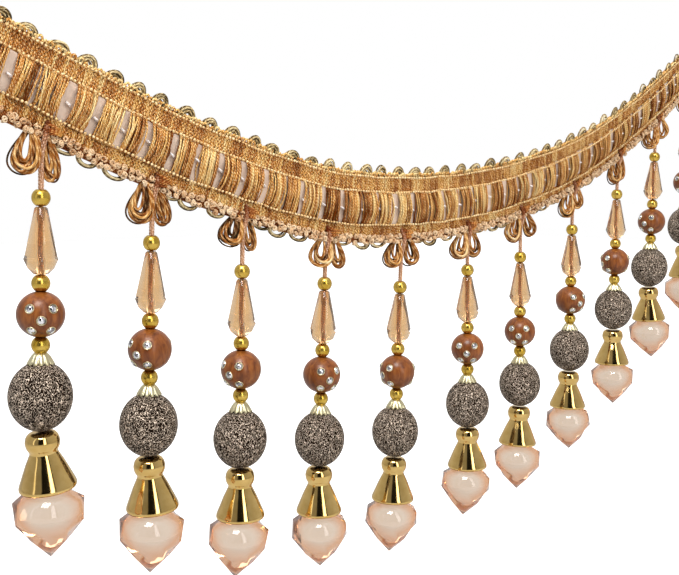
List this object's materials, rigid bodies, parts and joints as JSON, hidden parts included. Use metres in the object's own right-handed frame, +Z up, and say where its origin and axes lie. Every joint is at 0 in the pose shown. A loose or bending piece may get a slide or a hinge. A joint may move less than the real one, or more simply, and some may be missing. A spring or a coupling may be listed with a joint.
{
  "type": "beaded fringe trim",
  "caption": "Woven gimp braid trim with picot edges, loop bows and hanging bead drops, cut to a length and hung in a swag.",
  "frame": {"origin": "on the heading's top edge at its back face, over the lowest point of the swag", "axes": "+X along the swag from left to right, +Y out of the heading's back, +Z up"},
  "size_m": [0.2901, 0.0148, 0.1642],
  "materials": {
    "braid_yarn": "lustrous variegated golden tan rayon yarn, woven",
    "ribbon_satin": "pale pink-beige satin ribbon",
    "picot_thread": "twisted olive and gold thread",
    "edging_yarn": "pinkish beige and golden looped yarn",
    "gold_plate": "bright gold plating over moulded beads, with a pinkish beige twisted cord",
    "peach_acrylic": "faceted translucent peach acrylic",
    "wood_bead": "satin brown bead set with small clear stones",
    "stardust_bronze": "dark bronze crackle with silver sparkle",
    "clear_acrylic": "clear faceted acrylic with a peach tint"
  },
  "bodies": {
    "root": {"heading": "braid_yarn", "ribbon": "ribbon_satin", "upper_picots": "picot_thread", "lower_edging": "edging_yarn", "string_01": "gold_plate", "teardrop_01": "peach_acrylic", "wood_bead_01": "wood_bead", "ball_01": "stardust_bronze", "crystal_01": "clear_acrylic", "string_02": "gold_plate", "teardrop_02": "peach_acrylic", "wood_bead_02": "wood_bead", "ball_02": "stardust_bronze", "crystal_02": "clear_acrylic", "string_03": "gold_plate", "teardrop_03": "peach_acrylic", "wood_bead_03": "wood_bead", "ball_03": "stardust_bronze", "crystal_03": "clear_acrylic", "string_04": "gold_plate", "teardrop_04": "peach_acrylic", "wood_bead_04": "wood_bead", "ball_04": "stardust_bronze", "crystal_04": "clear_acrylic", "string_05": "gold_plate", "teardrop_05": "peach_acrylic", "wood_bead_05": "wood_bead", "ball_05": "stardust_bronze", "crystal_05": "clear_acrylic", "string_06": "gold_plate", "teardrop_06": "peach_acrylic", "wood_bead_06": "wood_bead", "ball_06": "stardust_bronze", "crystal_06": "clear_acrylic", "string_07": "gold_plate", "teardrop_07": "peach_acrylic", "wood_bead_07": "wood_bead", "ball_07": "stardust_bronze", "crystal_07": "clear_acrylic", "string_08": "gold_plate", "teardrop_08": "peach_acrylic", "wood_bead_08": "wood_bead", "ball_08": "stardust_bronze", "crystal_08": "clear_acrylic", "string_09": "gold_plate", "teardrop_09": "peach_acrylic", "wood_bead_09": "wood_bead", "ball_09": "stardust_bronze", "crystal_09": "clear_acrylic", "string_10": "gold_plate", "teardrop_10": "peach_acrylic", "wood_bead_10": "wood_bead", "ball_10": "stardust_bronze", "crystal_10": "clear_acrylic", "string_11": "gold_plate", "teardrop_11": "peach_acrylic", "wood_bead_11": "wood_bead", "ball_11": "stardust_bronze", "crystal_11": "clear_acrylic"}
  },
  "joints": []
}
